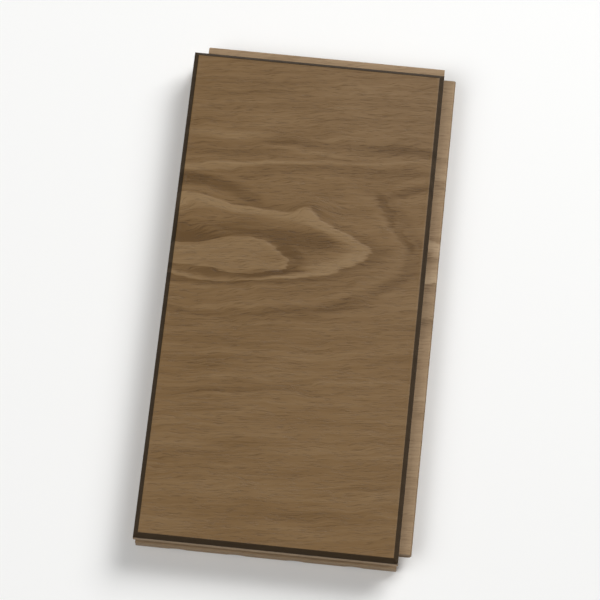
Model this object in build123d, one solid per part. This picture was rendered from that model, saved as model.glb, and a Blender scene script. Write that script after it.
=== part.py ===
"""Solid oak floor plank, tongued and grooved on all four edges, as one machined piece.

The wear face is a plain rectangle twice as long as it is wide, with a bevel along each of its four edges.
One long edge and one end carry a tongue, and the opposite edge and end carry the groove that takes it.
Below the tongue the edges stand back a little, so that laid planks meet at their faces.
Shallow round channels run along the underside, to keep the plank flat.

Frame: X across the plank, towards the tongued long edge. Y along it, towards the tongued end. Z up.
The origin is at the middle of the underside, on the land between the two middle channels.
"""

import os

from build123d import *

# Face of the plank, which is the area it covers when laid (mm)
face_width = 125.0
face_length = 250.0
plank_thickness = 20.0
face_bevel = 2.0

# Groove and the tongue that fits in it
groove_depth = 6.7
groove_height = 6.0
groove_below_face = 7.0
groove_lead_in = 0.8
groove_corner_radius = 0.8
tongue_reach = 6.0
tongue_clearance = 0.3
tongue_nose_radius = 1.2

# Underside
edge_setback = 0.4
underside_chamfer = 0.8
channel_width = 12.0
channel_depth = 2.0
channel_land = 16.0
channel_margin = 10.0

# How far a root reaches into the plank, and how far a cutter runs clear of it
root_overlap = 1.0
cutter_overrun = 2.0

# Sizes that follow from the ones above
joint_height = plank_thickness - groove_below_face - groove_height / 2
tongue_thickness = groove_height - tongue_clearance
back_width = face_width - 2 * edge_setback
back_length = face_length - 2 * edge_setback


def make_body():
    """The plank before its edges are worked: a bevelled upper half on a lower half that stands back."""
    upper = Pos(Z=joint_height) * Box(
        face_width,
        face_length,
        plank_thickness - joint_height,
        align=(Align.CENTER, Align.CENTER, Align.MIN),
    )
    upper = chamfer(upper.edges().group_by(Axis.Z)[-1], face_bevel)
    lower = Box(
        back_width,
        back_length,
        joint_height,
        align=(Align.CENTER, Align.CENTER, Align.MIN),
    )
    lower = chamfer(lower.edges().group_by(Axis.Z)[0], underside_chamfer)
    return upper + lower


def make_tongue(edge_plane, run):
    """A tongue with a rounded nose, along one edge.

    The plane's X points out of the edge, its Y points up, and its origin is on the edge at joint height.
    """
    root = edge_setback + root_overlap
    outline = Pos(X=-root) * Rectangle(
        root + tongue_reach, tongue_thickness, align=(Align.MIN, Align.CENTER)
    )
    nose = outline.vertices().group_by(Axis.X)[-1]
    outline = fillet(nose, tongue_nose_radius)
    return extrude(edge_plane * outline, run / 2, both=True)


def make_groove_cutter(edge_plane, run):
    """The cutter for a groove with a flared mouth and rounded inner corners, on a plane as for a tongue."""
    slot = Pos(X=-groove_depth) * Rectangle(
        groove_depth + cutter_overrun, groove_height, align=(Align.MIN, Align.CENTER)
    )
    inner_corners = slot.vertices().group_by(Axis.X)[0]
    slot = fillet(inner_corners, groove_corner_radius)
    flare_height = groove_height / 2 + groove_lead_in
    flare = make_face(
        Polyline(
            (-groove_lead_in, groove_height / 2),
            (cutter_overrun, flare_height + cutter_overrun),
            (cutter_overrun, -flare_height - cutter_overrun),
            (-groove_lead_in, -groove_height / 2),
            close=True,
        )
    )
    return extrude(edge_plane * (slot + flare), run / 2 + cutter_overrun, both=True)


def make_channel_cutters():
    """Round cutters for the channels along the underside, as many as fit between the margins."""
    pitch = channel_width + channel_land
    count = int((back_width - 2 * channel_margin + channel_land) // pitch)
    radius = (channel_width**2 / 4 + channel_depth**2) / (2 * channel_depth)
    length = face_length + 2 * (tongue_reach + cutter_overrun)
    cutter = Rot(X=90) * Cylinder(radius, length)
    return [
        place * Pos(Z=channel_depth - radius) * cutter
        for place in GridLocations(pitch, 0, count, 1)
    ]


def make_plank():
    """The finished plank."""
    right_edge = Plane((face_width / 2, 0, joint_height), x_dir=(1, 0, 0), z_dir=(0, -1, 0))
    left_edge = Plane((-face_width / 2, 0, joint_height), x_dir=(-1, 0, 0), z_dir=(0, 1, 0))
    far_end = Plane((0, face_length / 2, joint_height), x_dir=(0, 1, 0), z_dir=(1, 0, 0))
    near_end = Plane((0, -face_length / 2, joint_height), x_dir=(0, -1, 0), z_dir=(-1, 0, 0))

    plank = make_body()
    plank += make_tongue(right_edge, face_length)
    plank += make_tongue(far_end, face_width)

    # Each groove runs on through the tongue beside it, so that a neighbour's tongue can pass the corner
    plank -= make_groove_cutter(left_edge, face_length + 2 * tongue_reach)
    plank -= make_groove_cutter(near_end, face_width + 2 * tongue_reach)
    for cutter in make_channel_cutters():
        plank -= cutter
    return plank


os.makedirs("parts", exist_ok=True)
export_step(make_plank(), "parts/plank.step")
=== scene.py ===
"""Look of the oak floor plank: brushed grain in its mesh, its finishes, and a plain studio round it.

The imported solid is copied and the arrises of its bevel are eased. Its wear face is divided finely and
brushed along the growth lines, and the same lines colour the wood on every side, so that relief and
colour agree. The grain runs across the plank, along X. Its sizes are in millimetres, from the plank's own
origin.
"""

import logging
import math
from dataclasses import dataclass, field
from enum import Enum, IntEnum
from typing import Dict, Iterable, List, NamedTuple, Optional, Tuple, Union

import bmesh
import bpy
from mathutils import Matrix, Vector


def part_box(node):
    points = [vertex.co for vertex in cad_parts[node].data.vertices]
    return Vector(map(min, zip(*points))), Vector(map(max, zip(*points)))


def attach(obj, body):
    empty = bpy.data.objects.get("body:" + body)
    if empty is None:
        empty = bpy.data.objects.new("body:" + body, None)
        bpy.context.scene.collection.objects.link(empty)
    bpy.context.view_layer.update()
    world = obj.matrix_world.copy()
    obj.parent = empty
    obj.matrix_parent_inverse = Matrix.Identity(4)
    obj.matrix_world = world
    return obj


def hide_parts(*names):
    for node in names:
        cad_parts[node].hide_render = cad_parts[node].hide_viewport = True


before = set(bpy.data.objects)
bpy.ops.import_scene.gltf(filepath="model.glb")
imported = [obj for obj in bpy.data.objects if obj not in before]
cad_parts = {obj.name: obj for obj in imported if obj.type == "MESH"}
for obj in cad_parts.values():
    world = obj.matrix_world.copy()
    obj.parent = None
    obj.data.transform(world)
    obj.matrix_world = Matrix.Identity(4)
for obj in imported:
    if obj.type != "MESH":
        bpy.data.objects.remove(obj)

Socket = bpy.types.NodeSocket
Input = Union[Socket, float, Tuple[float, ...], Vector]
Colour = Tuple[float, float, float]
Range = Tuple[float, float]
Spans = Tuple[float, float, float]
Points = Tuple[Tuple[float, float], ...]

MM = 0.001
MM_PER_METRE = 1000.0
MERGE = 0.001 * MM

log = logging.getLogger("oak_plank")


class Axis(IntEnum):
    """The axes of the plank: X along the grain, Y along the plank, and Z up."""

    X = 0
    Y = 1
    Z = 2


class Zone(IntEnum):
    """Parts of the plank's surface that have a finish of their own, as material slots."""

    FACE = 0
    BEVEL = 1
    BACK = 2
    SIDE = 3
    END = 4


class Milled(Enum):
    """The way in which a bare surface went past the cutter, by the axis that its ripples follow."""

    NOT = None
    ALONG_GRAIN = Axis.X
    ACROSS_GRAIN = Axis.Y


class NodeBench:
    """Adds nodes to one node tree, whether it is a material's or a geometry modifier's."""

    def __init__(self, tree: bpy.types.NodeTree) -> None:
        """Keeps the tree that the nodes go into."""
        self.tree = tree

    def node(self, kind: str, **settings: object) -> bpy.types.Node:
        """Adds one node.

        Args:
            kind: Blender's name for the kind of node.
            settings: properties of the node, by name.

        Returns:
            The new node.
        """
        made = self.tree.nodes.new(kind)
        for name, value in settings.items():
            setattr(made, name, value)
        return made

    def feed(self, socket: Socket, value: Input) -> None:
        """Links a socket to another one, or sets a number, a vector or a colour on it.

        Args:
            socket: the input to fill.
            value: an output to link, or the value itself.
        """
        if isinstance(value, bpy.types.NodeSocket):
            self.tree.links.new(value, socket)
        else:
            socket.default_value = value

    def math(self, operation: str, *values: Input, clamp: bool = False) -> Socket:
        """Adds a Math node.

        Args:
            operation: the node's operation.
            values: its inputs in order.
            clamp: whether the result is kept from 0 to 1.

        Returns:
            The node's result.
        """
        made = self.node("ShaderNodeMath", operation=operation, use_clamp=clamp)
        for socket, value in zip(made.inputs, values):
            self.feed(socket, value)
        return made.outputs[0]

    def vector_math(self, operation: str, *values: Input) -> Socket:
        """Adds a Vector Math node.

        Args:
            operation: the node's operation.
            values: its vectors in order.

        Returns:
            The node's result, which is a number for a dot product.
        """
        made = self.node("ShaderNodeVectorMath", operation=operation)
        for socket, value in zip(made.inputs, values):
            self.feed(socket, value)
        return made.outputs["Value" if operation == "DOT_PRODUCT" else "Vector"]

    def total(self, *values: Input) -> Socket:
        """Adds several values together.

        Args:
            values: two or more sockets or numbers.

        Returns:
            Their sum.
        """
        result = values[0]
        for value in values[1:]:
            result = self.math("ADD", result, value)
        return result

    def split(self, vector: Socket) -> Tuple[Socket, Socket, Socket]:
        """Takes a vector apart.

        Args:
            vector: the vector.

        Returns:
            Its three parts.
        """
        parts = self.node("ShaderNodeSeparateXYZ")
        self.feed(parts.inputs[0], vector)
        return parts.outputs[0], parts.outputs[1], parts.outputs[2]

    def joined(self, *parts: Input) -> Socket:
        """Makes a vector from its parts.

        Args:
            parts: the parts in order, where those left out are 0.

        Returns:
            The vector.
        """
        made = self.node("ShaderNodeCombineXYZ")
        for socket, part in zip(made.inputs, parts):
            self.feed(socket, part)
        return made.outputs[0]

    def noise(self, vector: Input, spans: Tuple[float, ...], detail: float = 2.0) -> Socket:
        """Adds smooth noise.

        Args:
            vector: the place to read it at.
            spans: about how far apart its patches are along each axis.
            detail: how many finer layers it has.

        Returns:
            Noise from 0 to 1, about 0.5 in the mean.
        """
        made = self.node("ShaderNodeTexNoise", noise_dimensions="3D")
        self.feed(made.inputs["Vector"], self.vector_math("DIVIDE", vector, spans))
        made.inputs["Scale"].default_value = 1.0
        made.inputs["Detail"].default_value = detail
        return made.outputs[0]

    def swing(self, noise: Socket, reach: Input) -> Socket:
        """Turns noise into a value that swings either side of 0.

        Args:
            noise: noise from 0 to 1.
            reach: the swing for noise of 0 or 1.

        Returns:
            A value of about minus reach to reach.
        """
        return self.math("MULTIPLY", self.math("MULTIPLY_ADD", noise, 2.0, -1.0), reach)

    def step(
        self, value: Input, low: float, high: float, start: Input = 0.0, end: Input = 1.0
    ) -> Socket:
        """Adds a smooth step.

        Args:
            value: what is stepped on.
            low: where the step starts.
            high: where it ends.
            start: the result up to low.
            end: the result past high.

        Returns:
            The stepped value.
        """
        made = self.node("ShaderNodeMapRange", interpolation_type="SMOOTHSTEP")
        names = ("Value", "From Min", "From Max", "To Min", "To Max")
        for name, given in zip(names, (value, low, high, start, end)):
            self.feed(made.inputs[name], given)
        return made.outputs[0]

    def blend(self, share: Input, first: Input, second: Input) -> Socket:
        """Mixes two colours.

        Args:
            share: how much of the second one, from 0 to 1.
            first: a colour.
            second: another colour.

        Returns:
            The mixed colour.
        """
        made = self.node("ShaderNodeMix", data_type="RGBA")
        factor, first_in, second_in = made.inputs[0], made.inputs[6], made.inputs[7]
        for socket, value in ((factor, share), (first_in, first), (second_in, second)):
            self.feed(socket, (*value, 1.0) if isinstance(value, tuple) else value)
        return made.outputs[2]

    def between(self, share: Input, first: Input, second: Input) -> Socket:
        """Mixes two numbers.

        Args:
            share: how much of the second one, from 0 to 1.
            first: a number.
            second: another number.

        Returns:
            The mixed number.
        """
        made = self.node("ShaderNodeMix", data_type="FLOAT")
        factor, first_in, second_in = made.inputs[0], made.inputs[2], made.inputs[3]
        for socket, value in ((factor, share), (first_in, first), (second_in, second)):
            self.feed(socket, value)
        return made.outputs[0]

    def ramp(self, value: Input, colours: Tuple[Colour, ...]) -> Socket:
        """Runs evenly through several colours.

        Args:
            value: where between the first colour and the last, from 0 to 1.
            colours: the colours in order.

        Returns:
            The colour there.
        """
        made = self.node("ShaderNodeValToRGB")
        stops = made.color_ramp.elements
        while len(stops) < len(colours):
            stops.new(1.0)
        for index, colour in enumerate(colours):
            stops[index].position = index / (len(colours) - 1)
            stops[index].color = (*colour, 1.0)
        self.feed(made.inputs[0], value)
        return made.outputs[0]

    def curve(self, value: Input, points: Points) -> Socket:
        """Runs a value through a rounded curve.

        Args:
            value: what is looked up.
            points: the curve's points in order, each a value and its result.

        Returns:
            The result, which stays level past the ends.
        """
        values, results = zip(*points)
        start, span = values[0], values[-1] - values[0]
        low, high = min(results), max(results)
        made = self.node("ShaderNodeFloatCurve")
        line = made.mapping.curves[0]
        while len(line.points) < len(points):
            line.points.new(0.0, 0.0)
        for point, given, result in zip(line.points, values, results):
            point.location = ((given - start) / span, (result - low) / (high - low))
            point.handle_type = "AUTO_CLAMPED"
        made.mapping.update()
        share = self.math("DIVIDE", self.math("SUBTRACT", value, start), span, clamp=True)
        self.feed(made.inputs["Value"], share)
        return self.math("MULTIPLY_ADD", made.outputs[0], high - low, low)


@dataclass(frozen=True)
class Patch:
    """A long patch of the face, given by the line down its middle and by its half width."""

    start_mm: Tuple[float, float]
    end_mm: Tuple[float, float]
    half_width_mm: float

    def hill(self, bench: NodeBench, place: Socket) -> Socket:
        """Rises smoothly from nothing round the patch to 1 at its middle.

        Args:
            bench: where the nodes go.
            place: the place along and across the grain.

        Returns:
            The height of the hill.
        """
        run = Vector((*self.end_mm, 0.0)) - Vector((*self.start_mm, 0.0))
        middle = Vector((*self.start_mm, 0.0)) + run / 2.0
        turned = bench.node("ShaderNodeVectorRotate", rotation_type="Z_AXIS")
        bench.feed(turned.inputs["Vector"], place)
        turned.inputs["Center"].default_value = middle
        turned.inputs["Angle"].default_value = -math.atan2(run.y, run.x)
        centred = bench.vector_math("SUBTRACT", turned.outputs[0], middle)
        scaled = bench.vector_math("DIVIDE", centred, (run.length / 2.0, self.half_width_mm, 1.0))
        apart = bench.vector_math("DOT_PRODUCT", scaled, scaled)
        return bench.math("POWER", math.exp(-1.0), apart)


@dataclass(frozen=True)
class Streak(Patch):
    """A streak of paler or darker wood by what it adds to the lightness; the broad one over the near half
    is partly painted light.

    Its edge is the stretch of the hill over which it comes up to its full tone.
    """

    tone: float
    edge: Range = (0.12, 0.72)

    def added(self, bench: NodeBench, place: Socket, lightness: Socket) -> Socket:
        """Adds the streak to the lightness."""
        share = bench.step(self.hill(bench, place), *self.edge)
        return bench.math("MULTIPLY_ADD", share, self.tone, lightness)


@dataclass(frozen=True)
class Swirl(Patch):
    """A place where the grain is pushed towards the near end, or with a minus away from it."""

    push_mm: float

    def added(self, bench: NodeBench, place: Socket, across: Socket) -> Socket:
        """Pushes the grain aside."""
        return bench.math("MULTIPLY_ADD", self.hill(bench, place), self.push_mm, across)


@dataclass(frozen=True)
class GrowthLine:
    """The edge of one year's growth where it comes up through the face, as a long oval.

    Its tones are the lightness from the oval's middle outwards, where 1 is the oval itself. It is an
    ellipse for a fullness of 2, and more pointed for less. Between its fades it gives way to the wood
    outside.
    """

    middle_mm: Tuple[float, float]
    left_mm: float
    right_mm: float
    near_mm: float
    far_mm: float
    fullness: float
    tones: Points
    fades: Range

    def reach(self, bench: NodeBench, along: Socket, across: Socket) -> Socket:
        """Finds how far out a place is, as a share of the oval's own reach.

        Args:
            bench: where the nodes go.
            along: the place along the grain.
            across: the place across it.

        Returns:
            The share.
        """
        shares = (
            self._share(bench, along, self.middle_mm[0], self.left_mm, self.right_mm),
            self._share(bench, across, self.middle_mm[1], self.near_mm, self.far_mm),
        )
        powers = [bench.math("POWER", share, self.fullness) for share in shares]
        return bench.math("POWER", bench.total(*powers), 1.0 / self.fullness)

    @staticmethod
    def _share(bench: NodeBench, place: Socket, middle: float, before: float, after: float) -> Socket:
        """Finds how far out a place is along one axis.

        Args:
            bench: where the nodes go.
            place: the place along the axis.
            middle: the oval's middle.
            before: the oval's reach below its middle.
            after: its reach above it.

        Returns:
            The distance from the middle, as a share of the reach on that side.
        """
        offset = bench.math("SUBTRACT", place, middle)
        above = bench.math("DIVIDE", offset, after)
        below = bench.math("DIVIDE", offset, -before)
        return bench.math("MAXIMUM", above, below)

    def laid(self, bench: NodeBench, along: Socket, across: Socket, lightness: Input) -> Socket:
        """Lays the line over the wood outside it.

        Args:
            bench: where the nodes go.
            along: the place along the grain.
            across: the place across it.
            lightness: the wood outside.

        Returns:
            The lightness with the line.
        """
        reach = self.reach(bench, along, across)
        outside = bench.step(reach, *self.fades)
        return bench.between(outside, bench.curve(reach, self.tones), lightness)


OUTER_LINE = GrowthLine(
    middle_mm=(-24.0, 28.0),
    left_mm=160.0,
    right_mm=79.0,
    near_mm=35.0,
    far_mm=44.0,
    fullness=2.0,
    tones=(
        (0.00, 0.50),
        (0.80, 0.47),
        (0.87, 0.52),
        (0.91, 0.57),
        (0.95, 0.49),
        (0.98, 0.37),
        (1.02, 0.33),
        (1.06, 0.43),
        (1.12, 0.51),
        (1.22, 0.52),
        (1.48, 0.50),
        (1.56, 0.44),
        (1.62, 0.54),
        (2.02, 0.50),
        (2.10, 0.45),
        (2.18, 0.54),
        (2.52, 0.51),
        (2.66, 0.45),
        (2.74, 0.54),
        (3.10, 0.50),
        (3.34, 0.46),
        (3.44, 0.54),
        (4.00, 0.50),
    ),
    fades=(4.0, 5.0),
)
ARCH = GrowthLine(
    middle_mm=(-24.0, 28.0),
    left_mm=300.0,
    right_mm=58.5,
    near_mm=20.0,
    far_mm=17.0,
    fullness=1.66,
    tones=(
        (0.00, 0.44),
        (0.60, 0.42),
        (0.74, 0.52),
        (0.83, 0.80),
        (0.97, 0.98),
        (1.02, 0.34),
        (1.06, 0.27),
        (1.14, 0.36),
        (1.26, 0.48),
        (1.40, 0.50),
    ),
    fades=(1.08, 1.35),
)
LENS = GrowthLine(
    middle_mm=(-24.0, 17.5),
    left_mm=80.0,
    right_mm=19.2,
    near_mm=6.2,
    far_mm=12.0,
    fullness=1.5,
    tones=(
        (0.00, 0.70),
        (0.80, 0.70),
        (0.96, 0.77),
        (1.03, 0.22),
        (1.18, 0.22),
        (1.45, 0.36),
        (1.70, 0.42),
    ),
    fades=(1.22, 1.65),
)
SWIRLS = (
    Swirl((-5.0, 47.0), (13.0, 46.0), 6.0, push_mm=-5.0),
    Swirl((-70.0, 48.0), (-36.0, 48.0), 7.0, push_mm=-5.0),
    Swirl((-70.0, 27.0), (-41.0, 28.0), 6.0, push_mm=5.0),
    Swirl((-70.0, 3.0), (-20.0, 5.0), 8.0, push_mm=3.5),
    Swirl((-80.0, -14.0), (-22.0, -9.0), 9.0, push_mm=6.0),
)
# Paler near half: partly the wood's own tone, and partly painted light that makes up for the lamps'
# falloff towards the near end.
PALE_NEAR_HALF_AND_PAINTED_LIGHT = Streak((-95.0, -75.0), (95.0, -75.0), 58.0, tone=0.055)
IN_THE_ARCH = (
    Streak((-16.0, 32.0), (18.0, 30.6), 5.2, tone=-0.42),
    Streak((-16.0, 31.0), (5.0, 19.0), 3.0, tone=-0.22),
    Streak((-74.0, 31.0), (-42.0, 30.5), 4.4, tone=-0.34),
    Streak((-40.0, 34.5), (-8.0, 34.0), 2.8, tone=-0.22),
    Streak((-76.0, 45.0), (-34.0, 45.5), 5.2, tone=0.16),
)
BEYOND_THE_ARCH = (
    Streak((-78.0, 55.6), (-29.0, 55.4), 4.4, tone=-0.42),
    Streak((-38.0, 53.0), (-20.0, 48.0), 3.2, tone=-0.24),
    Streak((-72.0, 61.0), (-18.0, 69.2), 2.0, tone=0.36),
    Streak((-28.0, 69.0), (24.0, 72.8), 1.4, tone=0.26),
    Streak((14.0, 73.0), (66.0, 76.8), 1.1, tone=0.16),
    Streak((-36.0, 60.6), (4.0, 68.2), 2.7, tone=-0.20),
    Streak((-6.0, 67.8), (66.0, 71.4), 2.8, tone=-0.20),
    Streak((-72.0, 72.0), (-16.0, 75.8), 3.0, tone=-0.14),
    Streak((-76.0, 81.5), (-17.0, 82.6), 2.8, tone=0.26),
    Streak((-24.0, 80.4), (66.0, 81.8), 2.4, tone=-0.20),
    Streak((-24.0, 80.2), (-6.0, 80.8), 2.0, tone=-0.10),
    Streak((28.0, 81.8), (72.0, 82.2), 3.0, tone=-0.20),
    Streak((-20.0, 78.4), (24.0, 75.4), 1.1, tone=0.16),
)
ROUND_THE_ARCH = (
    Streak((33.0, 55.4), (64.0, 66.2), 1.9, tone=-0.36),
    Streak((34.0, 59.5), (45.0, 43.5), 2.5, tone=-0.34),
    Streak((39.0, 48.0), (56.0, 30.0), 2.0, tone=-0.32),
    Streak((-84.0, 6.4), (-26.0, 7.6), 2.0, tone=-0.10),
    Streak((-31.0, 10.2), (12.0, 15.4), 1.9, tone=-0.28),
    Streak((-84.0, 4.6), (-26.0, 6.0), 1.8, tone=0.14),
    Streak((42.0, 63.4), (60.0, 69.0), 1.3, tone=0.18),
    Streak((38.0, 7.0), (62.0, 20.0), 2.4, tone=-0.10),
)
IN_THE_NEAR_HALF = (
    Streak((10.0, -5.4), (38.0, 0.6), 3.0, tone=-0.16),
    Streak((-30.0, -11.6), (14.0, -7.2), 3.0, tone=-0.12),
    Streak((-62.0, -17.0), (-38.0, -12.0), 3.2, tone=-0.10),
    Streak((30.0, -28.0), (62.0, -23.0), 2.6, tone=-0.10),
    Streak((-54.0, -38.0), (0.0, -31.5), 3.6, tone=-0.12),
    Streak((12.0, -42.6), (56.0, -36.2), 1.9, tone=0.22),
    Streak((-50.0, -46.4), (-26.0, -42.6), 1.5, tone=0.14),
    Streak((-60.0, -52.2), (4.0, -46.4), 1.5, tone=-0.16),
    Streak((6.0, -46.0), (30.0, -53.0), 3.4, tone=-0.09),
    Streak((-44.0, -61.0), (-20.0, -57.6), 1.8, tone=-0.12),
    Streak((40.0, -68.0), (60.0, -64.4), 2.0, tone=-0.08),
    Streak((-58.0, -85.6), (6.0, -78.8), 3.4, tone=-0.10),
    Streak((14.0, -87.0), (62.0, -83.0), 3.4, tone=0.08),
    Streak((26.0, -92.4), (62.0, -88.4), 1.7, tone=-0.13),
    Streak((-22.0, -98.4), (-4.0, -95.6), 2.0, tone=-0.08),
    Streak((-58.0, -108.8), (58.0, -105.4), 3.2, tone=-0.07),
    Streak((-2.0, -107.4), (38.0, -105.8), 2.0, tone=-0.08),
)
AT_THE_FAR_END = (
    Streak((-60.0, 94.0), (-22.0, 96.6), 3.4, tone=-0.08),
    Streak((-30.0, 111.0), (80.0, 113.0), 15.0, tone=-0.04),
    Streak((0.0, 100.6), (62.0, 102.4), 1.7, tone=0.08),
)
STREAKS = (
    PALE_NEAR_HALF_AND_PAINTED_LIGHT,
    *IN_THE_ARCH,
    *BEYOND_THE_ARCH,
    *ROUND_THE_ARCH,
    *IN_THE_NEAR_HALF,
    *AT_THE_FAR_END,
)


class GrainSockets(NamedTuple):
    """What the grain gives at each place."""

    lightness: Socket
    streaks: Socket
    fibres: Socket
    pores: Socket
    warmth: Socket


@dataclass(frozen=True)
class Grain:
    """The oak's figure as a solid pattern: growth lines that dip into the wood, and fibres along X.

    Outside the lines the wood is plain. The outer line dies out towards the far end, where streaks take
    its place. The grain sways over long stretches and waves over short ones, and fingers of wood break up
    the lines.
    """

    face_mm: float = 20.0
    dip: float = 0.15
    heading_deg: float = 6.0
    plain: float = 0.50
    outer_dies_out_mm: Range = (54.0, 63.0)
    outer_line: GrowthLine = OUTER_LINE
    inner_lines: Tuple[GrowthLine, ...] = (ARCH, LENS)
    swirls: Tuple[Swirl, ...] = SWIRLS
    streaks: Tuple[Streak, ...] = STREAKS
    sway_mm: float = 2.4
    sway_spans_mm: Spans = (95.0, 48.0, 60.0)
    wave_mm: float = 2.6
    wave_spans_mm: Spans = (22.0, 9.0, 20.0)
    finger_mm: float = 0.7
    finger_spans_mm: Spans = (16.0, 1.6, 1.6)
    broad_spans_mm: Spans = (62.0, 8.5, 8.5)
    narrow_spans_mm: Spans = (45.0, 1.8, 1.8)
    fibre_spans_mm: Spans = (16.0, 0.5, 0.5)
    pore_spans_mm: Spans = (6.0, 0.34, 0.34)
    pore_edge: Range = (0.56, 0.68)
    warmth_spans_mm: Spans = (120.0, 45.0, 45.0)

    def wire(self, bench: NodeBench, place: Socket) -> GrainSockets:
        """Adds the nodes of the figure, alike in a material and in a geometry modifier.

        Args:
            bench: where the nodes go.
            place: the place on the plank, in metres.

        Returns:
            The sockets that hold the figure.
        """
        in_mm = bench.vector_math("MULTIPLY", place, (MM_PER_METRE, MM_PER_METRE, MM_PER_METRE))
        along, across, height = bench.split(in_mm)
        across = self._wandering(bench, in_mm, along, across)
        lightness = self._lightness(bench, in_mm, along, across, height)

        slope = math.tan(math.radians(self.heading_deg))
        flow = bench.joined(along, bench.math("MULTIPLY_ADD", along, -slope, across), height)
        broad = bench.noise(flow, self.broad_spans_mm, detail=3.0)
        narrow = bench.noise(flow, self.narrow_spans_mm)
        streaks = bench.math("MULTIPLY", bench.math("ADD", broad, narrow), 0.5)
        fibres = bench.noise(flow, self.fibre_spans_mm)
        pores = bench.step(bench.noise(flow, self.pore_spans_mm, detail=1.0), *self.pore_edge)
        warmth = bench.noise(flow, self.warmth_spans_mm, detail=1.0)
        return GrainSockets(lightness, streaks, fibres, pores, warmth)

    def _wandering(self, bench: NodeBench, in_mm: Socket, along: Socket, across: Socket) -> Socket:
        """Lets the grain wander, and pushes it aside at the swirls.

        Args:
            bench: where the nodes go.
            in_mm: the place on the plank.
            along: its part along the grain.
            across: its part across the grain.

        Returns:
            The place across the grain, after it has wandered.
        """
        result = bench.total(
            across,
            bench.swing(bench.noise(in_mm, self.sway_spans_mm, detail=1.0), self.sway_mm),
            bench.swing(bench.noise(in_mm, self.wave_spans_mm), self.wave_mm),
        )
        flat = bench.joined(along, across)
        for swirl in self.swirls:
            result = swirl.added(bench, flat, result)
        return result

    def _lightness(
        self, bench: NodeBench, in_mm: Socket, along: Socket, across: Socket, height: Socket
    ) -> Socket:
        """Draws the growth lines and the streaks.

        Args:
            bench: where the nodes go.
            in_mm: the place on the plank.
            along: the place along the grain.
            across: the place across it.
            height: the height over the underside.

        Returns:
            The lightness of the wood, from 0 to 1.
        """
        fingers = bench.swing(bench.noise(in_mm, self.finger_spans_mm, detail=3.0), self.finger_mm)
        below = bench.total(height, -self.face_mm, fingers)
        along = bench.math("MULTIPLY_ADD", below, 1.0 / self.dip, along)

        died_out = bench.step(across, *self.outer_dies_out_mm)
        result = self.outer_line.laid(bench, along, across, self.plain)
        result = bench.between(died_out, result, self.plain)
        for line in self.inner_lines:
            result = line.laid(bench, along, across, result)
        flat = bench.joined(along, across)
        for streak in self.streaks:
            result = streak.added(bench, flat, result)
        return result


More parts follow.
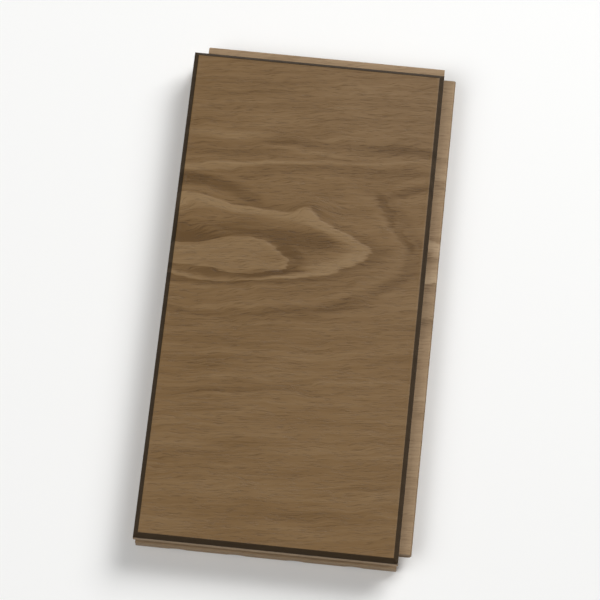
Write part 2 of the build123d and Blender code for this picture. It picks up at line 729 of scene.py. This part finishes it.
@dataclass(frozen=True)
class OakFinish:
    """Oak with a stain and a surface: three tones from dark lines to pale ones, and how it shines.

    The pore shares say how far pores darken dark wood and pale wood, and the pore lightnesses say what
    counts as dark and pale. The depth of the pores is in heights of the fibres.
    """

    name: str
    dark: Colour
    middle: Colour
    pale: Colour
    pore: Colour
    warm: Colour
    roughness: float
    roughness_swing: float
    specular: float
    fibre_mm: float
    pore_depth: float = 1.6
    pore_lightnesses: Range = (0.2, 0.6)
    pore_shares: Range = (0.75, 0.35)
    streak_swing: float = 0.50
    fibre_swing: float = 0.24
    warm_edge: Range = (0.45, 0.75)
    warm_share: float = 0.2
    milled: Milled = Milled.NOT
    ripple_pitch_mm: float = 1.8
    ripple_mm: float = 0.012
    stain: Optional[Colour] = None
    stain_share: float = 0.85
    stain_foot_mm: float = 17.5
    stain_fade_mm: float = 0.3
    stain_ragged_mm: float = 0.9
    stain_spans_mm: Spans = (5.0, 5.0, 2.0)

    def material(self, grain: Grain) -> bpy.types.Material:
        """Makes the material.

        Args:
            grain: the figure that it shows.

        Returns:
            The new material.
        """
        made = bpy.data.materials.new(self.name)
        made.use_nodes = True
        bench = NodeBench(made.node_tree)
        shader = made.node_tree.nodes["Principled BSDF"]
        place = bench.node("ShaderNodeTexCoord").outputs["Object"]
        figure = grain.wire(bench, place)

        colour = self.colour(bench, figure)
        if self.stain is not None:
            colour = bench.blend(self.stained(bench, place), colour, self.stain)
        bench.feed(shader.inputs["Base Color"], colour)
        bench.feed(shader.inputs["Roughness"], bench.math(
            "MULTIPLY_ADD", figure.lightness, -self.roughness_swing, self.roughness,
        ))
        shader.inputs["Specular IOR Level"].default_value = self.specular
        bench.feed(shader.inputs["Normal"], self.bumps(bench, figure, place))
        return made

    def colour(self, bench: NodeBench, figure: GrainSockets) -> Socket:
        """Colours the wood by its figure.

        Args:
            bench: where the nodes go.
            figure: the grain at each place.

        Returns:
            The colour.
        """
        tone = bench.total(
            figure.lightness,
            bench.swing(figure.streaks, self.streak_swing),
            bench.swing(figure.fibres, self.fibre_swing),
        )
        wood = bench.ramp(tone, (self.dark, self.middle, self.pale))
        warmed = bench.step(figure.warmth, *self.warm_edge, 0.0, self.warm_share)
        wood = bench.blend(warmed, wood, self.warm)
        porous = bench.step(figure.lightness, *self.pore_lightnesses, *self.pore_shares)
        return bench.blend(bench.math("MULTIPLY", figure.pores, porous), wood, self.pore)

    def stained(self, bench: NodeBench, place: Socket) -> Socket:
        """Tells where the stain of the bevel has crept down.

        Args:
            bench: where the nodes go.
            place: the place on the plank, in metres.

        Returns:
            The share of stain.
        """
        spans = tuple(span * MM for span in self.stain_spans_mm)
        ragged = bench.swing(bench.noise(place, spans), self.stain_ragged_mm)
        height = bench.math("MULTIPLY_ADD", bench.split(place)[Axis.Z], MM_PER_METRE, ragged)
        low = self.stain_foot_mm - self.stain_fade_mm
        high = self.stain_foot_mm + self.stain_fade_mm
        return bench.step(height, low, high, 0.0, self.stain_share)

    def bumps(self, bench: NodeBench, figure: GrainSockets, place: Socket) -> Socket:
        """Gives the surface its pores and fibres, and the ripples of the cutter where it is milled.

        Args:
            bench: where the nodes go.
            figure: the grain at each place.
            place: the place on the plank, in metres.

        Returns:
            The surface's direction.
        """
        height = bench.math("MULTIPLY_ADD", figure.pores, -self.pore_depth, figure.fibres)
        height = bench.math("MULTIPLY", height, self.fibre_mm)
        if self.milled is not Milled.NOT:
            turn = math.tau * MM_PER_METRE / self.ripple_pitch_mm
            travel = bench.split(place)[self.milled.value]
            wave = bench.math("SINE", bench.math("MULTIPLY", travel, turn))
            height = bench.math("MULTIPLY_ADD", wave, self.ripple_mm, height)
        made = bench.node("ShaderNodeBump")
        made.inputs["Distance"].default_value = MM
        bench.feed(made.inputs["Height"], height)
        return made.outputs[0]


LACQUERED = OakFinish(
    name="satin_lacquered_oak",
    dark=(0.095, 0.044, 0.005),
    middle=(0.179, 0.101, 0.036),
    pale=(0.256, 0.163, 0.076),
    pore=(0.074, 0.035, 0.007),
    warm=(0.180, 0.095, 0.026),
    roughness=0.45,
    roughness_swing=0.10,
    specular=0.4,
    fibre_mm=0.03,
)
STAINED_BEVEL = OakFinish(
    name="dark_stained_bevel",
    dark=(0.028, 0.017, 0.007),
    middle=(0.042, 0.026, 0.012),
    pale=(0.060, 0.039, 0.019),
    pore=(0.018, 0.011, 0.005),
    warm=(0.044, 0.025, 0.010),
    roughness=0.60,
    roughness_swing=0.08,
    specular=0.14,
    fibre_mm=0.025,
)
BARE_BACK = OakFinish(
    name="planed_bare_oak",
    dark=(0.200, 0.128, 0.066),
    middle=(0.315, 0.215, 0.122),
    pale=(0.410, 0.295, 0.180),
    pore=(0.140, 0.085, 0.043),
    warm=(0.320, 0.200, 0.100),
    roughness=0.66,
    roughness_swing=0.08,
    specular=0.3,
    fibre_mm=0.025,
    milled=Milled.ACROSS_GRAIN,
)
BARE_END_GRAIN = OakFinish(
    name="milled_end_grain_oak",
    dark=(0.150, 0.092, 0.045),
    middle=(0.235, 0.153, 0.082),
    pale=(0.320, 0.222, 0.130),
    pore=(0.085, 0.050, 0.024),
    warm=(0.240, 0.145, 0.070),
    roughness=0.76,
    roughness_swing=0.06,
    specular=0.2,
    fibre_mm=0.04,
    milled=Milled.ACROSS_GRAIN,
    stain=STAINED_BEVEL.middle,
)
BARE_LONG_GRAIN = OakFinish(
    name="milled_long_grain_oak",
    dark=(0.195, 0.124, 0.063),
    middle=(0.305, 0.206, 0.116),
    pale=(0.400, 0.286, 0.173),
    pore=(0.135, 0.082, 0.041),
    warm=(0.310, 0.193, 0.096),
    roughness=0.68,
    roughness_swing=0.08,
    specular=0.3,
    fibre_mm=0.03,
    milled=Milled.ALONG_GRAIN,
    stain=STAINED_BEVEL.middle,
)


class Looks(Enum):
    """The ways in which the plank's surfaces look. Inside the joints, level ones look up or down."""

    FACE = "wear face and bevels"
    UP = "tongue tops and groove floors"
    DOWN = "tongue bottoms and groove ceilings"
    BACK = "underside"
    LEFT = "grooved side"
    RIGHT = "tongued side"
    NEAR = "grooved end"
    FAR = "tongued end"


@dataclass(frozen=True)
class Sheet:
    """Where the surfaces that look one way lie on the bake map, and the two axes they are laid along."""

    corner_mm: Tuple[float, float]
    scale: float
    axes: Tuple[Axis, Axis]

    def spot(self, place: Vector, low: Vector, map_side_mm: float) -> Tuple[float, ...]:
        """Finds a place on the map.

        Args:
            place: the place on the plank.
            low: the lowest corner of the plank.
            map_side_mm: the side of the whole map.

        Returns:
            The same place on the map, from 0 to 1.
        """
        return tuple(
            (corner + (place[axis] - low[axis]) * MM_PER_METRE * self.scale) / map_side_mm
            for corner, axis in zip(self.corner_mm, self.axes)
        )


FACE_SCALE = 1.0
OUTSIDE_SCALE = 0.56
JOINT_SCALE = 0.4
SHEETS: Dict[Looks, Sheet] = {
    Looks.FACE: Sheet((1.5, 3.0), FACE_SCALE, (Axis.X, Axis.Y)),
    Looks.BACK: Sheet((129.5, 112.5), OUTSIDE_SCALE, (Axis.X, Axis.Y)),
    Looks.LEFT: Sheet((201.5, 110.5), OUTSIDE_SCALE, (Axis.Z, Axis.Y)),
    Looks.RIGHT: Sheet((214.5, 110.5), OUTSIDE_SCALE, (Axis.Z, Axis.Y)),
    Looks.NEAR: Sheet((227.5, 110.5), OUTSIDE_SCALE, (Axis.Z, Axis.X)),
    Looks.FAR: Sheet((240.5, 110.5), OUTSIDE_SCALE, (Axis.Z, Axis.X)),
    Looks.UP: Sheet((129.5, 3.5), JOINT_SCALE, (Axis.X, Axis.Y)),
    Looks.DOWN: Sheet((185.5, 3.5), JOINT_SCALE, (Axis.X, Axis.Y)),
}


@dataclass
class Plank:
    """The plank as one piece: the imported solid, with eased arrises and a brushed wear face.

    A direction counts as straight along an axis, or a surface as part of a zone, from the cosine given.
    """

    grain: Grain
    node: str = "plank"
    name: str = "oak_plank"
    cell_along_mm: float = 0.95
    cell_across_mm: float = 0.42
    flat_deg: float = 0.5
    arris_mm: float = 0.3
    arris_from_deg: float = 20.0
    brushed_mm: float = 0.12
    brushed_streaks: float = 0.5
    brushed_layer: str = "brushed"
    plain_rim_mm: float = 1.6
    bevel_foot_mm: float = 2.6
    sharp_deg: float = 28.0
    straight: float = 0.999
    face_from: float = 0.99
    bevel_from: float = 0.2
    side_from: float = 0.6
    bake_map: str = "OFBake"
    bake_map_side_mm: float = 256.0
    back_below_mm: float = 4.0
    finishes: Tuple[OakFinish, ...] = (
        LACQUERED,
        STAINED_BEVEL,
        BARE_BACK,
        BARE_END_GRAIN,
        BARE_LONG_GRAIN,
    )
    top: float = field(init=False)

    def __post_init__(self) -> None:
        """Reads the height of the wear face from the frame."""
        self.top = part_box(self.node)[1].z

    def build(self) -> bpy.types.Object:
        """Makes the plank and hangs it on the frame.

        Returns:
            The finished piece.
        """
        bm = self.copied_solid()
        self.ease_arrises(bm)
        low, high = self.divide_face(bm)
        self.put_in_order(bm)
        self.mark_brushed(bm, low, high)
        self.mark_zones(bm)
        self.lay_out_map(bm)
        mesh = bpy.data.meshes.new(self.name)
        bm.to_mesh(mesh)
        bm.free()
        mesh.set_sharp_from_angle(angle=math.radians(self.sharp_deg))
        piece = bpy.data.objects.new(self.name, mesh)
        bpy.context.scene.collection.objects.link(piece)
        for finish in self.finishes:
            mesh.materials.append(finish.material(self.grain))
        self.brush(piece)
        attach(piece, "root")
        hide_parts(self.node)
        return piece

    def copied_solid(self) -> bmesh.types.BMesh:
        """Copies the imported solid, with its triangles joined to whole faces.

        Returns:
            The copy.
        """
        bm = bmesh.new()
        bm.from_mesh(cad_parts[self.node].data)
        bmesh.ops.remove_doubles(bm, verts=bm.verts, dist=MERGE)
        flat = math.radians(self.flat_deg)
        bmesh.ops.dissolve_limit(bm, angle_limit=flat, verts=bm.verts, edges=bm.edges)
        return bm

    def ease_arrises(self, bm: bmesh.types.BMesh) -> None:
        """Takes the sharpness off the edges of the bevel.

        Args:
            bm: the plank's mesh, which is changed.
        """
        foot = self.top - self.bevel_foot_mm * MM
        sharp = math.radians(self.arris_from_deg)
        arrises = [
            edge for edge in bm.edges
            if min(vert.co.z for vert in edge.verts) > foot and edge.calc_face_angle() > sharp
        ]
        bmesh.ops.bevel(
            bm, geom=arrises, offset=self.arris_mm * MM, offset_type="OFFSET", segments=2, profile=0.5,
            affect="EDGES", clamp_overlap=False, material=-1,
        )

    def divide_face(self, bm: bmesh.types.BMesh) -> Tuple[Vector, Vector]:
        """Divides the wear face into narrow cells that lie along the grain.

        Args:
            bm: the plank's mesh, which is changed.

        Returns:
            The lowest and the highest corner of the wear face.
        """
        level = (face for face in bm.faces if face.normal.z > self.straight)
        wear_face = max(level, key=lambda face: face.calc_area())
        low = Vector(min(vert.co[axis] for vert in wear_face.verts) for axis in Axis)
        high = Vector(max(vert.co[axis] for vert in wear_face.verts) for axis in Axis)
        across = [edge for edge in wear_face.edges if self.runs_along(edge, Axis.Y)]
        cuts = round((high.y - low.y) / (self.cell_across_mm * MM)) - 1
        bmesh.ops.subdivide_edges(bm, edges=across, cuts=cuts)
        along = [
            edge for edge in bm.edges
            if self.on_face(edge, low, high) and self.runs_along(edge, Axis.X)
        ]
        cuts = round((high.x - low.x) / (self.cell_along_mm * MM)) - 1
        bmesh.ops.subdivide_edges(bm, edges=along, cuts=cuts)
        return low, high

    def runs_along(self, edge: bmesh.types.BMEdge, axis: Axis) -> bool:
        """Whether an edge runs along an axis."""
        run = edge.verts[1].co - edge.verts[0].co
        return abs(run[axis]) > self.straight * run.length

    @staticmethod
    def on_face(edge: bmesh.types.BMEdge, low: Vector, high: Vector) -> bool:
        """Whether an edge lies in the wear face, between its corners."""
        return all(
            low[axis] - MERGE <= vert.co[axis] <= high[axis] + MERGE
            for vert in edge.verts
            for axis in Axis
        )

    @staticmethod
    def put_in_order(bm: bmesh.types.BMesh) -> None:
        """Sorts the faces by their first two corners, since dividing orders them differently each run.

        Args:
            bm: the plank's mesh, which is changed.
        """
        bm.verts.index_update()
        count = len(bm.verts)
        bm.faces.sort(key=lambda face: face.verts[0].index * count + face.verts[1].index)

    def mark_brushed(self, bm: bmesh.types.BMesh, low: Vector, high: Vector) -> None:
        """Notes on each vertex of the wear face how far the brush reaches there.

        Args:
            bm: the plank's mesh, which is changed.
            low: the lowest corner of the wear face.
            high: its highest corner.
        """
        layer = bm.verts.layers.float.new(self.brushed_layer)
        rim = self.plain_rim_mm * MM
        for vert in bm.verts:
            if vert.co.z < low.z - MERGE:
                continue
            inside = min(vert.co.x - low.x, high.x - vert.co.x, vert.co.y - low.y, high.y - vert.co.y)
            share = min(max(inside / rim, 0.0), 1.0)
            vert[layer] = share * share * (3.0 - 2.0 * share)

    def mark_zones(self, bm: bmesh.types.BMesh) -> None:
        """Gives each face of the mesh its zone.

        Args:
            bm: the plank's mesh, which is changed.
        """
        for face in bm.faces:
            face.smooth = True
            face.material_index = self.zone(face)

    def zone(self, face: bmesh.types.BMFace) -> Zone:
        """Tells which zone a face is in.

        Args:
            face: a face of the mesh.

        Returns:
            Its zone.
        """
        if face.calc_center_median().z > self.top - self.bevel_foot_mm * MM:
            if face.normal.z > self.face_from:
                return Zone.FACE
            if face.normal.z > self.bevel_from:
                return Zone.BEVEL
        if abs(face.normal.x) > self.side_from:
            return Zone.SIDE
        if abs(face.normal.y) > self.side_from:
            return Zone.END
        return Zone.BACK

    def lay_out_map(self, bm: bmesh.types.BMesh) -> None:
        """Lays the surfaces out on a map of their own, for baking the finishes through.

        The wear face has half of the map, and the surfaces inside the joints have the least.

        Args:
            bm: the plank's mesh, with its zones, which is changed.
        """
        layer = bm.loops.layers.uv.new(self.bake_map)
        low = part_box(self.node)[0]
        for face in bm.faces:
            sheet = SHEETS[self.looks(face)]
            for loop in face.loops:
                loop[layer].uv = sheet.spot(loop.vert.co, low, self.bake_map_side_mm)

    def looks(self, face: bmesh.types.BMFace) -> Looks:
        """Tells which way a face looks.

        Args:
            face: a face of the mesh, with its zone.

        Returns:
            The way it looks.
        """
        if face.material_index in (Zone.FACE, Zone.BEVEL):
            return Looks.FACE
        if face.material_index == Zone.SIDE:
            return Looks.RIGHT if face.normal.x > 0.0 else Looks.LEFT
        if face.material_index == Zone.END:
            return Looks.FAR if face.normal.y > 0.0 else Looks.NEAR
        if face.normal.z > 0.0:
            return Looks.UP
        low_down = face.calc_center_median().z < self.back_below_mm * MM
        return Looks.BACK if low_down else Looks.DOWN

    def brush(self, piece: bpy.types.Object) -> None:
        """Lowers the soft wood of the wear face, as a wire brush does.

        Args:
            piece: the plank.
        """
        tree = bpy.data.node_groups.new("brushed_face", "GeometryNodeTree")
        tree.interface.new_socket("Geometry", in_out="INPUT", socket_type="NodeSocketGeometry")
        tree.interface.new_socket("Geometry", in_out="OUTPUT", socket_type="NodeSocketGeometry")
        bench = NodeBench(tree)
        source = bench.node("NodeGroupInput")
        result = bench.node("NodeGroupOutput")
        place = bench.node("GeometryNodeInputPosition").outputs[0]
        figure = self.grain.wire(bench, place)
        reach = bench.node("GeometryNodeInputNamedAttribute", data_type="FLOAT")
        reach.inputs["Name"].default_value = self.brushed_layer
        hard = bench.total(figure.lightness, bench.swing(figure.streaks, self.brushed_streaks))
        soft = bench.math("SUBTRACT", 1.0, hard, clamp=True)
        depth = bench.math("MULTIPLY", soft, -self.brushed_mm * MM)
        lowered = bench.math("MULTIPLY", depth, reach.outputs[0])
        moved = bench.node("GeometryNodeSetPosition")
        bench.feed(moved.inputs["Geometry"], source.outputs[0])
        bench.feed(moved.inputs["Offset"], bench.joined(0.0, 0.0, lowered))
        bench.feed(result.inputs[0], moved.outputs[0])
        modifier = piece.modifiers.new("brushed_face", "NODES")
        modifier.node_group = tree


@dataclass(frozen=True)
class Softbox:
    """A square light."""

    name: str
    place: Tuple[float, float, float]
    side: float
    watts: float

    def hang(self, aim: Vector) -> None:
        """Hangs the light.

        Args:
            aim: the point that it faces.
        """
        lamp = bpy.data.lights.new(self.name, "AREA")
        lamp.shape = "SQUARE"
        lamp.size = self.side
        lamp.energy = self.watts
        holder = bpy.data.objects.new(self.name, lamp)
        holder.location = self.place
        holder.rotation_euler = (aim - Vector(self.place)).to_track_quat("-Z", "Y").to_euler()
        bpy.context.scene.collection.objects.link(holder)


@dataclass
class Studio:
    """A pale floor, soft light and the camera."""

    azimuth_deg: float = 6.0
    elevation_deg: float = 71.0
    distance: float = 1.3
    framed: float = 0.292
    aim: Tuple[float, float, float] = (0.003, 0.003, 0.010)
    floor_half: float = 4.0
    floor_drop: float = 0.0001
    floor_colour: Colour = (0.93, 0.93, 0.92)
    floor_roughness: float = 0.8
    floor_specular: float = 0.2
    world_colour: Colour = (1.0, 1.0, 1.0)
    world_strength: float = 0.15
    softboxes: Tuple[Softbox, ...] = (
        Softbox("key_softbox", (1.30, 1.60, 1.90), side=1.5, watts=62.0),
        Softbox("fill_softbox", (-1.25, -0.95, 2.05), side=1.8, watts=31.0),
        Softbox("sheen_softbox", (0.14, 0.50, 0.75), side=0.3, watts=0.45),
    )

    def build(self) -> None:
        """Makes the floor, the light and the camera."""
        self.floor()
        self.world()
        for softbox in self.softboxes:
            softbox.hang(Vector(self.aim))
        self.camera()

    def floor(self) -> bpy.types.Object:
        """Makes the floor.

        Returns:
            The floor.
        """
        bm = bmesh.new()
        bmesh.ops.create_grid(bm, x_segments=1, y_segments=1, size=self.floor_half)
        bmesh.ops.translate(bm, verts=bm.verts, vec=(0.0, 0.0, -self.floor_drop))
        mesh = bpy.data.meshes.new("floor")
        bm.to_mesh(mesh)
        bm.free()
        made = bpy.data.materials.new("pale_floor")
        made.use_nodes = True
        shader = made.node_tree.nodes["Principled BSDF"]
        shader.inputs["Base Color"].default_value = (*self.floor_colour, 1.0)
        shader.inputs["Roughness"].default_value = self.floor_roughness
        shader.inputs["Specular IOR Level"].default_value = self.floor_specular
        mesh.materials.append(made)
        floor = bpy.data.objects.new("floor", mesh)
        bpy.context.scene.collection.objects.link(floor)
        return floor

    def world(self) -> None:
        """Lights the scene evenly from all round."""
        world = bpy.data.worlds.new("studio")
        world.use_nodes = True
        sky = world.node_tree.nodes["Background"]
        sky.inputs["Color"].default_value = (*self.world_colour, 1.0)
        sky.inputs["Strength"].default_value = self.world_strength
        bpy.context.scene.world = world

    def camera(self) -> None:
        """Sets up the camera, which looks down on the plank from its near end."""
        azimuth, elevation = math.radians(self.azimuth_deg), math.radians(self.elevation_deg)
        away = Vector((
            math.sin(azimuth) * math.cos(elevation),
            -math.cos(azimuth) * math.cos(elevation),
            math.sin(elevation),
        ))
        lens = bpy.data.cameras.new("camera")
        lens.angle = 2.0 * math.atan(self.framed / 2.0 / self.distance)
        holder = bpy.data.objects.new("camera", lens)
        holder.location = Vector(self.aim) + away * self.distance
        holder.rotation_euler = (-away).to_track_quat("-Z", "Y").to_euler()
        bpy.context.scene.collection.objects.link(holder)
        bpy.context.scene.camera = holder


def main() -> None:
    """Builds the plank and the studio."""
    logging.basicConfig(level=logging.INFO, format="%(name)s: %(message)s")
    bpy.context.scene.view_settings.view_transform = "Standard"
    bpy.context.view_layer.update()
    plank = Plank(Grain()).build()
    log.info("%s: %d faces", plank.name, len(plank.data.polygons))
    Studio().build()
    log.info("studio: floor, lights and camera")


if __name__ == "__main__":
    main()
